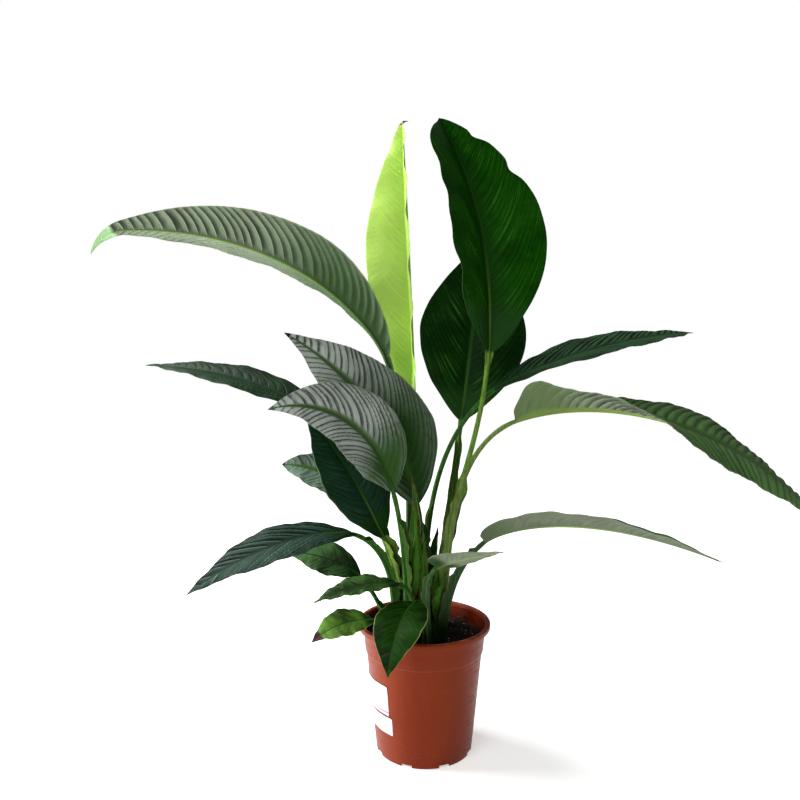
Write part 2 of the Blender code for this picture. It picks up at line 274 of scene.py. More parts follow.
POT_PROFILE = [
    (0, 0),
    (HUB_RADIUS, 0),
    (HUB_RADIUS + 0.0008, FLOOR_HEIGHT),
    (FOOT_RADIUS - SKIRT, FLOOR_HEIGHT),
    (FOOT_RADIUS - SKIRT + 0.0005, 0),
    (FOOT_RADIUS, 0),
    (FOOT_RADIUS + FOOT_FLARE, FOOT_BAND),
    (FOOT_RADIUS + 0.0057, 0.055),
    (FOOT_RADIUS + 0.0099, 0.100),
    (UNDER_STEP, STEP_HEIGHT - STEP_ROUND),
    (COLLAR_FOOT, STEP_HEIGHT),
    (COLLAR_FOOT + 0.0015, STEP_HEIGHT + 0.017),
    (COLLAR_TOP, POT_HEIGHT - RIM_DEPTH),
    (RIM_RADIUS, POT_HEIGHT - RIM_DEPTH),
    (RIM_RADIUS, POT_HEIGHT - 0.0008),
    (RIM_RADIUS - 0.0028, POT_HEIGHT),
    (RIM_RADIUS - 0.0062, POT_HEIGHT - 0.0004),
    (COLLAR_TOP - WALL, POT_HEIGHT - 0.0040),
    (COLLAR_FOOT - WALL, STEP_HEIGHT + 0.0010),
    (UNDER_STEP - WALL, STEP_HEIGHT - STEP_ROUND),
    (FOOT_RADIUS + FOOT_FLARE - WALL, FLOOR_HEIGHT + WALL + 0.0020),
    (FOOT_RADIUS - WALL - 0.0010, FLOOR_HEIGHT + WALL),
    (0, FLOOR_HEIGHT + WALL),
]
MOULD_RADIUS = 0.0010  # rounding of the mould's corners


def rounded(profile, radius, steps=4):
    """Replaces each inner corner of a profile by a small curve."""
    corners = [np.array(point, float) for point in profile]
    curve = [corners[0]]
    for before, corner, after in zip(corners, corners[1:], corners[2:]):
        back, on = before - corner, after - corner
        reach = min(radius, np.linalg.norm(back) / 2.2, np.linalg.norm(on) / 2.2)
        start = corner + back / np.linalg.norm(back) * reach
        end = corner + on / np.linalg.norm(on) * reach
        for step in range(steps + 1):
            share = step / steps
            curve.append((1 - share) ** 2 * start + 2 * share * (1 - share) * corner + share**2 * end)
    curve.append(corners[-1])
    return [tuple(point) for point in curve]


def turned(profile, sides):
    """Points and faces of a profile turned round the upright axis, from the axis to the axis."""
    angles = np.linspace(0, 2 * math.pi, sides, endpoint=False)
    points = [(0, 0, profile[0][1])]
    for radius, height in profile[1:-1]:
        points += [(radius * math.cos(a), radius * math.sin(a), height) for a in angles]
    points.append((0, 0, profile[-1][1]))
    faces, last = [], len(points) - 1
    for side in range(sides):
        after = (side + 1) % sides
        faces.append((0, 1 + after, 1 + side))
        for ring in range(len(profile) - 3):
            low, high = 1 + ring * sides, 1 + (ring + 1) * sides
            faces.append((low + side, low + after, high + after, high + side))
        top = 1 + (len(profile) - 3) * sides
        faces.append((top + side, top + after, last))
    return points, faces


def new_tree(name, sizes):
    """A Geometry Nodes tree with a geometry input and one named input for each size."""
    tree = bpy.data.node_groups.new(name, "GeometryNodeTree")
    tree.interface.new_socket("Geometry", in_out="INPUT", socket_type="NodeSocketGeometry")
    tree.interface.new_socket("Geometry", in_out="OUTPUT", socket_type="NodeSocketGeometry")
    for label, kind in sizes.items():
        tree.interface.new_socket(label, in_out="INPUT", socket_type="NodeSocket" + kind)
    bench = Bench(tree)
    start = tree.nodes.new("NodeGroupInput")
    inputs = {socket.name: Reading(bench, socket) for socket in start.outputs if socket.name}
    return bench, inputs


def close_tree(bench, shape, finish):
    """Ends a tree: instances made real, the material set, and the result handed out."""
    real = bench.add("GeometryNodeRealizeInstances", {}, {"Geometry": shape})
    painted = bench.add("GeometryNodeSetMaterial", {}, {"Geometry": real, "Material": finish})
    end = bench.tree.nodes.new("NodeGroupOutput")
    bench.tree.links.new(painted.socket, end.inputs[0])
    return bench.tree


def made(piece, tree, values, name):
    """Runs a tree on a piece and returns the result as a new piece with a plain mesh."""
    modifier = piece.modifiers.new(tree.name, "NODES")
    modifier.node_group = tree
    for item in tree.interface.items_tree:
        if item.in_out == "INPUT" and item.name in values:
            modifier[item.identifier] = values[item.name]
    bpy.context.view_layer.update()
    graph = bpy.context.evaluated_depsgraph_get()
    mesh = bpy.data.meshes.new_from_object(piece.evaluated_get(graph), depsgraph=graph)
    mesh.name = name
    piece.modifiers.remove(modifier)
    blank = piece.data
    bpy.data.objects.remove(piece)
    bpy.data.meshes.remove(blank)
    result = bpy.data.objects.new(name, mesh)
    bpy.context.collection.objects.link(result)
    return result


pot_finish, bench, shader = new_finish(
    "satin_terracotta_plastic", specular=0.26, Specular_Tint=(1.0, 0.45, 0.32, 1)
)
tone = bench.cloud(bench.stretched((9, 9, 3)), 1.6, detail=3.0)
grain = bench.cloud(bench.place(), 900, detail=2.0)
scuffs = bench.cloud(bench.stretched((60, 60, 220)), 1.0, detail=4.0, roughness=0.7)
height = bench.height()
across = bench.length(bench.stretched((1, 1, 0)))
body = bench.mix(tone.ramp(0.35, 0.65), paint(100, 26, 0), paint(110, 35, 4))
body = bench.mix(0.5 * grain.ramp(0.45, 0.65), body, paint(120, 44, 12))
worn = height.ramp(POT_HEIGHT - 0.0016, POT_HEIGHT) + (1 - height.ramp(0.0, 0.003))
body = bench.mix(0.35 * worn * scuffs.ramp(0.45, 0.6), body, paint(186, 116, 88))
collar_slope = (COLLAR_TOP - COLLAR_FOOT) / (POT_HEIGHT - RIM_DEPTH - STEP_HEIGHT)
collar_skin = COLLAR_FOOT + (height - STEP_HEIGHT) * collar_slope
# A darker, patchy band on the inner wall, from below the soil to about a centimetre above it.
inside = (collar_skin - across).ramp(0.0006, 0.0010) * height.ramp(0.15, 0.155)
inner_dark_band = inside * (1 - height.ramp(0.164, 0.176)) * scuffs.ramp(0.35, 0.6)
body = bench.mix(0.9 * inner_dark_band, body, paint(24, 18, 14))
streak = scuffs.ramp(0.56, 0.66) * 0.07
body = bench.mix(streak, body, paint(176, 104, 78))
roughness = 0.36 + 0.16 * grain + 0.25 * scuffs.ramp(0.5, 0.7)
relief = 0.6 * grain + 0.4 * scuffs
apply_finish(bench, shader, body, roughness, relief, 0.22, 0.0003)

bench, given = new_tree("drain_cuts", {
    "Notches": "Int",
    "Notch size": "Vector",
    "Notch circle": "Float",
    "Hole radius": "Float",
    "Hole circle": "Float",
    "Floor height": "Float",
    "Finish": "Material",
})
half_turn = math.pi / NOTCHES
notch_circle = bench.add("GeometryNodeMeshCircle", {}, {0: given["Notches"], 1: given["Notch circle"]})
hole_circle = bench.add("GeometryNodeMeshCircle", {}, {0: given["Notches"], 1: given["Hole circle"]})
block = bench.add("GeometryNodeMeshCube", {}, {0: given["Notch size"]})
drill = bench.add("GeometryNodeMeshCylinder", {}, {0: 24, 3: given["Hole radius"], 4: DRILL_LENGTH})
spot = bench.add("GeometryNodeInputPosition")
facing = bench.add("FunctionNodeAlignRotationToVector", {"axis": "X"}, {"Vector": spot})
blocks = bench.add("GeometryNodeInstanceOnPoints", {},
                   {"Points": notch_circle, "Instance": block, "Rotation": facing})
lift = bench.add("ShaderNodeCombineXYZ", {}, {2: given["Floor height"]})
drills = bench.add("GeometryNodeInstanceOnPoints", {}, {"Points": hole_circle, "Instance": drill})
drills = bench.add("GeometryNodeTransform", {}, {"Geometry": drills, "Translation": lift})
joined = bench.add("GeometryNodeJoinGeometry", {}, {0: blocks})
bench.tree.links.new(drills.socket, joined.socket.node.inputs[0])
turned_cuts = bench.add("GeometryNodeTransform", {}, {"Geometry": joined, "Rotation": (0, 0, half_turn)})
cutters = bench.add("GeometryNodeRealizeInstances", {}, {0: turned_cuts})
carved = bench.add("GeometryNodeMeshBoolean", {"operation": "DIFFERENCE", "solver": "EXACT"},
                   {"Mesh 1": given["Geometry"], "Mesh 2": cutters})
drain_cuts = close_tree(bench, carved, given["Finish"])

pot_points, pot_faces = turned(rounded(POT_PROFILE, MOULD_RADIUS), POT_SIDES)
pot = new_piece("pot_blank", pot_points, pot_faces, pot_finish)
pot = made(pot, drain_cuts, {
    "Notches": NOTCHES,
    "Notch size": (NOTCH_DEPTH, NOTCH_WIDTH, 2 * NOTCH_HEIGHT),
    "Notch circle": FOOT_RADIUS,
    "Hole radius": DRAIN_RADIUS,
    "Hole circle": DRAIN_CIRCLE,
    "Floor height": FLOOR_HEIGHT,
    "Finish": pot_finish,
}, "nursery_pot")
pot.data.set_sharp_from_angle(angle=math.radians(38))
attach(pot, "root")
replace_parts(pot, "pot")


# Potting mix.
# Dark, damp peat and bark that fills the pot to a little under its rim, heaped round the
# stalks, with loose crumbs, white perlite, and one dry twig lying on it.
SOIL_TOP = 0.163
SOIL_MOUND = 0.004
SOIL_RADIUS = COLLAR_FOOT - WALL - 0.0004
SOIL_SIDES = 144
SOIL_RINGS = 40
SOIL_CLEARANCE = 0.0004  # gap to the pot's floor
CRUMBS = {  # how many on a square metre, radius, seed
    "peat_crumbs": (90000, 0.0011, 11),
    "bark_crumbs": (16000, 0.0021, 23),
    "perlite": (3600, 0.0013, 5),
}
TWIG_POINTS = [
    (0.033, 0.034, 0.1680),
    (0.043, 0.042, 0.1698),
    (0.054, 0.052, 0.1700),
    (0.064, 0.060, 0.1682),
]
TWIG_RADIUS = 0.0011
TWIG_SIDES = 14
LUMPS = 22  # waves that make the lumps of the soil
LUMP_PITCH = 260
LUMP_HEIGHT = 0.00032

soil_dice = np.random.default_rng(7)
soil_waves = soil_dice.uniform(-1, 1, (LUMPS, 2)) * LUMP_PITCH
soil_shifts = soil_dice.uniform(0, 2 * math.pi, LUMPS)


def soil_height(x, y):
    """Height of the soil: a low mound under small lumps."""
    away = np.hypot(x, y) / SOIL_RADIUS
    mound = SOIL_MOUND * np.cos(np.clip(away, 0, 1) * math.pi / 2)
    waves = zip(soil_waves, soil_shifts)
    lumps = sum(np.sin(x * wave[0] + y * wave[1] + shift) for wave, shift in waves)
    return SOIL_TOP + mound + LUMP_HEIGHT * lumps * (1 - 0.5 * away)


def ring_faces(sides, rings, last=None):
    """Faces from a middle point out through rings of points, and on to a last point if given."""
    faces = []
    for side in range(sides):
        after = (side + 1) % sides
        faces.append((0, 1 + side, 1 + after))
        for ring in range(rings - 1):
            inner, outer = 1 + ring * sides, 1 + (ring + 1) * sides
            faces.append((inner + side, outer + side, outer + after, inner + after))
        if last:
            edge = 1 + (rings - 1) * sides
            faces.append((edge + side, last, edge + after))
    return faces


soil_finish, bench, shader = new_finish("damp_peat", specular=0.15)
place = bench.place()
clods = bench.cloud(place, 320, detail=5.0, roughness=0.7)
fibres = bench.cloud(bench.stretched((1400, 500, 900)), 1.0, detail=3.0)
damp = bench.cloud(place, 40, detail=2.0)
body = bench.mix(clods.ramp(0.35, 0.68), paint(7, 6, 5), paint(30, 24, 19))
body = bench.mix(0.7 * fibres.ramp(0.6, 0.7), body, paint(92, 70, 50))
roughness = 0.62 + 0.35 * damp.ramp(0.4, 0.6)
apply_finish(bench, shader, body, roughness, clods + 0.5 * fibres, 0.9, 0.0012)

angles = np.linspace(0, 2 * math.pi, SOIL_SIDES, endpoint=False)
soil_points = [(0, 0, float(soil_height(0.0, 0.0)))]
for ring in range(1, SOIL_RINGS + 1):
    radius = SOIL_RADIUS * ring / SOIL_RINGS
    for angle in angles:
        x, y = radius * math.cos(angle), radius * math.sin(angle)
        soil_points.append((x, y, float(soil_height(x, y))))
top_count = len(soil_points)
wall_slope = (UNDER_STEP - FOOT_RADIUS) / STEP_HEIGHT
SOIL_FOOT = FLOOR_HEIGHT + WALL + SOIL_CLEARANCE
wall_heights = (0.150, 0.1435, 0.0100, SOIL_FOOT)
for height in wall_heights:
    radius = min(SOIL_RADIUS - 0.0006, FOOT_RADIUS + wall_slope * height - WALL - 0.0012)
    soil_points += [(radius * math.cos(a), radius * math.sin(a), height) for a in angles]
soil_points.append((0, 0, SOIL_FOOT))
soil_faces = ring_faces(SOIL_SIDES, SOIL_RINGS + len(wall_heights), len(soil_points) - 1)
soil = new_piece("potting_soil", soil_points, soil_faces, soil_finish)
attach(soil, "root")
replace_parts(soil, "soil")

perlite_finish, bench, shader = new_finish("perlite", specular=0.3)
pores = bench.cloud(bench.place(), 2400, detail=3.0)
body = bench.mix(pores.ramp(0.35, 0.6), paint(150, 140, 124), paint(226, 222, 212))
apply_finish(bench, shader, body, 0.75 + 0.15 * pores, pores, 0.5, 0.0003)

bench, given = new_tree("scattered_crumbs", {
    "Density": "Float",
    "Radius": "Float",
    "Seed": "Int",
    "Finish": "Material",
})
spread = bench.add("GeometryNodeDistributePointsOnFaces", {},
                   {"Mesh": given["Geometry"], "Density": given["Density"], "Seed": given["Seed"]})
crumb = bench.add("GeometryNodeMeshIcoSphere", {}, {"Radius": given["Radius"], "Subdivisions": 1})
stretch = bench.add("FunctionNodeRandomValue", {"data_type": "FLOAT_VECTOR"},
                    {0: (0.35, 0.35, 0.3), 1: (1.5, 1.0, 0.8), "Seed": given["Seed"]})
turn = bench.add("FunctionNodeRandomValue", {"data_type": "FLOAT_VECTOR"},
                 {0: (-0.6, -0.6, 0.0), 1: (0.6, 0.6, 6.28), "Seed": given["Seed"]})
crumbs = bench.add("GeometryNodeInstanceOnPoints", {},
                   {"Points": spread, "Instance": crumb, "Rotation": turn, "Scale": stretch})
loose = bench.add("GeometryNodeRealizeInstances", {}, {0: crumbs})
jitter = bench.add("ShaderNodeTexNoise", {}, {"Scale": 700.0}, output=1)
offset = bench.add("ShaderNodeVectorMath", {"operation": "SUBTRACT"}, {0: jitter, 1: (0.5, 0.5, 0.5)})
offset = bench.add("ShaderNodeVectorMath", {"operation": "SCALE"}, {0: offset, "Scale": given["Radius"]})
rough = bench.add("GeometryNodeSetPosition", {}, {"Geometry": loose, "Offset": offset})
scattered_crumbs = close_tree(bench, rough, given["Finish"])

bark_finish, bench, shader = new_finish("bark_crumb", specular=0.3)
fibre = bench.cloud(bench.stretched((700, 260, 500)), 1.0, detail=3.0)
body = bench.mix(fibre.ramp(0.35, 0.65), paint(14, 11, 8), paint(50, 36, 26))
apply_finish(bench, shader, body, 0.6 + 0.3 * fibre, fibre, 0.6, 0.0006)

crumb_finishes = {"peat_crumbs": soil_finish, "bark_crumbs": bark_finish, "perlite": perlite_finish}
bed_radius = SOIL_RADIUS * 0.97
bed_points = [point for point in soil_points[:top_count] if math.hypot(*point[:2]) < bed_radius]
bed_faces = ring_faces(SOIL_SIDES, (len(bed_points) - 1) // SOIL_SIDES)
for name, (density, radius, seed) in CRUMBS.items():
    bed = new_piece(name + "_bed", bed_points, bed_faces, crumb_finishes[name])
    values = {"Density": density, "Radius": radius, "Seed": seed, "Finish": crumb_finishes[name]}
    layer = made(bed, scattered_crumbs, values, name)
    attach(layer, "root")

twig_path = [
    Vector(start).lerp(Vector(end), share)
    for start, end in zip(TWIG_POINTS, TWIG_POINTS[1:])
    for share in np.linspace(0, 1, 8, endpoint=False)
]
twig_path = np.array(twig_path + [TWIG_POINTS[-1]])
twig_points, twig_faces = [], []
for index, centre in enumerate(twig_path):
    share = index / (len(twig_path) - 1)
    girth = TWIG_RADIUS * (0.75 + 0.25 * math.sin(share * 9)) * (1.1 - 0.4 * share)
    for side in range(TWIG_SIDES):
        angle = 2 * math.pi * side / TWIG_SIDES
        ridge = girth * (1 + 0.12 * math.sin(3 * angle + index))
        offset = (0.35 * ridge * math.cos(angle), ridge * math.cos(angle), ridge * math.sin(angle))
        twig_points.append(tuple(middle + step for middle, step in zip(centre, offset)))
for index in range(len(twig_path) - 1):
    for side in range(TWIG_SIDES):
        after = (side + 1) % TWIG_SIDES
        a, b = index * TWIG_SIDES + side, index * TWIG_SIDES + after
        twig_faces.append((a, a + TWIG_SIDES, b + TWIG_SIDES, b))
twig_faces.append(tuple(range(TWIG_SIDES)))
twig_faces.append(tuple(range(len(twig_points) - TWIG_SIDES, len(twig_points)))[::-1])
twig_finish, bench, shader = new_finish("dry_twig", specular=0.25)
bark = bench.cloud(bench.stretched((160, 1400, 1400)), 1.0, detail=4.0)
body = bench.mix(bark.ramp(0.38, 0.62), paint(96, 78, 58), paint(176, 156, 128))
apply_finish(bench, shader, body, 0.7 + 0.2 * bark, bark, 0.7, 0.0004)
twig = new_piece("dry_twig", twig_points, twig_faces, twig_finish)
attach(twig, "root")


# Stickers.
# Two thin white film labels wrapped round the left of the pot's wall. They are slightly
# creased, a little smudged and lifted at their corners; the upper one has a magenta band.
STICKER_GAP = 0.0003
STICKER_THICKNESS = 0.00015
STICKERS = {
    "label_upper": (0.070, 0.1125, -108.75, -41.25),
    "label_lower": (0.042, 0.067, -101.25, -37.5),
}
BAND_BOTTOM = 0.0735
BAND_TOP = 0.0755
STICKER_GRID = (72, 24)  # columns and rows
WALL_RISE = STEP_HEIGHT - STEP_ROUND - FOOT_BAND
sticker_dice = np.random.default_rng(31)

sticker_finish, bench, shader = new_finish("white_film_label", specular=0.5)
place = bench.place()
height = bench.height()
smudge = bench.cloud(place, 90, detail=4.0, roughness=0.65)
fibre = bench.cloud(place, 1500, detail=2.0)
body = bench.mix(smudge.ramp(0.3, 0.75), paint(206, 204, 209), paint(180, 177, 184))
band = height.ramp(BAND_BOTTOM - 0.0002, BAND_BOTTOM) * (1 - height.ramp(BAND_TOP, BAND_TOP + 0.0002))
body = bench.mix(0.9 * band * (1 - 0.4 * fibre), body, paint(136, 24, 82))
apply_finish(bench, shader, body, 0.38 + 0.25 * smudge, smudge + 0.3 * fibre, 0.3, 0.0004)

for name, (bottom, top, first, last) in STICKERS.items():
    columns, rows = STICKER_GRID
    creases = sticker_dice.uniform(0, 2 * math.pi, 6)
    points, faces = [], []
    for lift in (0, 1):
        for row in range(rows + 1):
            for column in range(columns + 1):
                share_up, share_on = row / rows, column / columns
                height = bottom + (top - bottom) * share_up
                angle = math.radians(first + (last - first) * share_on)
                flare = (height - FOOT_BAND) * (UNDER_STEP - FOOT_RADIUS - FOOT_FLARE) / WALL_RISE
                radius = FOOT_RADIUS + FOOT_FLARE + flare
                wander = 2 * math.sin(share_up * 3 + creases[1])
                crease = abs(math.sin(share_on * 9 + creases[0] + wander)) ** 8
                ripple = 0.5 + 0.5 * math.sin(share_up * 14 + creases[2] + share_on * 5)
                corner = max(abs(share_on - 0.5) * 2 + abs(share_up - 0.5) * 2 - 1.75, 0) ** 2
                stand = STICKER_GAP + 0.00018 * crease + 0.00006 * ripple + 0.014 * corner
                radius += stand + lift * STICKER_THICKNESS
                points.append((radius * math.sin(angle), -radius * math.cos(angle), height))
    layer = (rows + 1) * (columns + 1)
    for row in range(rows):
        for column in range(columns):
            a = row * (columns + 1) + column
            b, c, d = a + 1, a + columns + 2, a + columns + 1
            faces.append((a, d, c, b))
            faces.append((a + layer, b + layer, c + layer, d + layer))
    edge = list(range(columns + 1))
    edge += [row * (columns + 1) + columns for row in range(1, rows + 1)]
    edge += [rows * (columns + 1) + column for column in range(columns - 1, -1, -1)]
    edge += [row * (columns + 1) for row in range(rows - 1, 0, -1)]
    for start, end in zip(edge, edge[1:] + edge[:1]):
        faces.append((start, end, end + layer, start + layer))
    sticker = new_piece(name + "_film", points, faces, sticker_finish)
    sticker.data.set_sharp_from_angle(angle=math.radians(40))
    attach(sticker, "root")
    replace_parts(sticker, name)


# Leaves.
# Each leaf grows from the soil on one round stalk, which carries a thin wing on each side low
# down and becomes the midrib of the blade. Curved side veins quilt the blade like a duvet.
STALK_DEPTH = 0.012
SHEET = 0.0006
NECK_RADIUS = 0.0030
TIP_RADIUS = 0.0008
ROW_STEP = 0.0023
COLUMN_STEP = 0.0020
STALK_STEP = 0.006
ROW_LIMITS = (46, 215)
STALK_LIMITS = (14, 60)
COLUMN_LIMITS = (9, 26)
TIP_REACH = 0.0012  # the closing point of the tip, past the last row
QUILT_SHARPNESS = 0.75
WING_EDGE = (98, 70, 38)
LEAF_SEED = 100
SHEATH_SEED = 300
WING_FOLD = math.radians(66)


class Skin(NamedTuple):
    """The colours of a leaf, as painted on a display, and how glossy it is."""

    upper: tuple
    under: tuple
    vein_upper: tuple
    vein_under: tuple
    midrib_upper: tuple
    midrib_under: tuple
    heel: tuple  # the blade near its stalk
    stalk: tuple
    margin: tuple
    tip: tuple = (46, 34, 26)
    specular: float = 0.4
    gloss: float = 0.36  # roughness of the upper side
    glow: float = 0.0  # share of the light that comes through the sheet
    patchy: float = 0.5  # how much the green varies
    quilt: float = 0.5  # strength of the painted shade that darkens each rib towards the next groove
    streak: float = 0.0  # how strongly the fine ridges are lighter: a painted highlight along their crests
    lines: float = 0.75  # how strongly the main side veins show
    range: tuple = (0.45, 1.5)  # darkest and lightest share of the green
    heel_reach: float = 0.22  # share of the blade that has the heel's colour
    fine: float = 0.9  # how strongly the fine parallel veins show
    threads: float = 6  # fine veins between two main side veins
    band: float = 0.045  # share of each half that has the midrib's colour


DEEP = Skin(
    upper=(10, 56, 0), under=(92, 110, 84), vein_upper=(62, 112, 40), vein_under=(150, 165, 135),
    midrib_upper=(30, 66, 20), midrib_under=(120, 146, 82), heel=(26, 60, 20), stalk=(92, 124, 48),
    margin=(22, 52, 18), specular=0.03, quilt=0.25, streak=0.7, lines=0.10,
)
SLATE = Skin(
    upper=(30, 52, 32), under=(86, 98, 78), vein_upper=(84, 104, 82), vein_under=(136, 150, 122),
    midrib_upper=(24, 48, 24), midrib_under=(116, 140, 84), heel=(18, 42, 18), stalk=(44, 82, 26),
    margin=(46, 66, 46), specular=0.05, gloss=0.46, quilt=0.8, lines=0.8, fine=1.5, threads=2.5,
    range=(0.22, 2.2),
)
# The pale grey of the upper side, its veins and its margin is a painted sheen: the white surround's
# reflection on a glossy dark green leaf. The heel colour near the stalk is the leaf's own green.
PAINTED_SHEEN = Skin(
    upper=(135, 143, 135), under=(98, 116, 92), vein_upper=(176, 186, 172),
    vein_under=(140, 156, 130), midrib_upper=(50, 84, 20), midrib_under=(120, 146, 84),
    heel=(34, 62, 22), stalk=(44, 84, 22), margin=(110, 122, 100), specular=0.08, gloss=0.40,
    band=0.16, quilt=0.75, lines=0.6, fine=1.1, threads=5, range=(0.20, 1.65), heel_reach=0.34,
)
BACKED = Skin(
    upper=(50, 78, 44), under=(80, 93, 73), vein_upper=(74, 104, 66), vein_under=(148, 160, 136),
    midrib_upper=(60, 92, 40), midrib_under=(120, 142, 72), heel=(32, 62, 20), stalk=(100, 116, 72),
    margin=(112, 128, 96), specular=0.2, gloss=0.40, quilt=0.9, fine=0.8, range=(0.22, 1.7),
)
LIME = Skin(
    upper=(152, 188, 78), under=(152, 188, 80), vein_upper=(122, 162, 50),
    vein_under=(126, 166, 56), midrib_upper=(164, 204, 92), midrib_under=(158, 196, 84),
    heel=(132, 174, 54), stalk=(112, 152, 44), margin=(168, 204, 96), tip=(84, 74, 30),
    specular=0.3, gloss=0.42, glow=0.06, patchy=0.3, quilt=0.06, lines=0.35, fine=0.7,
    range=(0.7, 1.3),
)
FRESH = Skin(
    upper=(10, 36, 1), under=(84, 108, 58), vein_upper=(70, 104, 24), vein_under=(120, 140, 90),
    midrib_upper=(24, 60, 12), midrib_under=(116, 140, 76), heel=(18, 50, 12), stalk=(48, 88, 24),
    margin=(140, 152, 96), specular=0.05, gloss=0.38, patchy=1.6, quilt=0.25, lines=0.25, fine=0.9,
    range=(0.4, 4.4),
)


class Leaf(NamedTuple):
    """One stalk with its blade. Lengths are in metres and angles in degrees."""

    root: tuple  # x and y where the stalk leaves the soil
    heading: float  # the way that the leaf leans
    stalk: tuple  # length above the soil, radius at the foot
    blade: tuple  # length, width, share of the length where it is widest
    pitch: tuple  # slope of the stalk's foot, of the blade's base and of its tip
    skin: Skin
    late: tuple = (2.0, 0.8)  # over 1, the stalk or the blade bends late; under 1, early
    sway: tuple = (0, 0, 0)  # lean towards the leaf's own left at the same three places
    roll: tuple = (0, 0)  # how far its left half is lifted, at the base and at the tip
    fold: tuple = (30, 10)  # how far both halves are folded up, at the base and at the tip
    hook: float = 0  # further droop of the blade's last eighth
    taper: float = 1.15  # over 1, the tip is drawn out; under 1, it is blunt
    ribs: tuple = (0.012, 0.0010)  # spacing and height of the quilting
    bow: float = 0.05  # arch of each half, as a share of its width
    wave: tuple = (0.0012, 4.0)  # height of the margin's waves, and how many there are
    lobes: tuple = ()  # swellings of the margin, or hollows: side, place, height and length
    skirt: tuple = (0.06, 0.0015)  # share of the stalk that the blade runs down, and its width
    curl: float = 0  # how far the very tip turns towards the leaf's left
    blunt: float = 0.85  # under 0.5, the blade's base is square-shouldered
    twist: float = 1.0  # share of the blade over which it rolls
    belly: float = 0  # further lean halfway up the stalk, towards the leaf's own left
    slant: tuple = (0.25, 0.75)  # lean and curve of the left half's veins, then of the right's
    wing: tuple = (0.45, 0.0045)  # how far up the stalk its wings go, and their width
    tip_share: float = 0.03  # share of the blade, from the tip, that has the tip's colour: a changed colour on most leaves, and on leaf_01 painted light shining through the tip
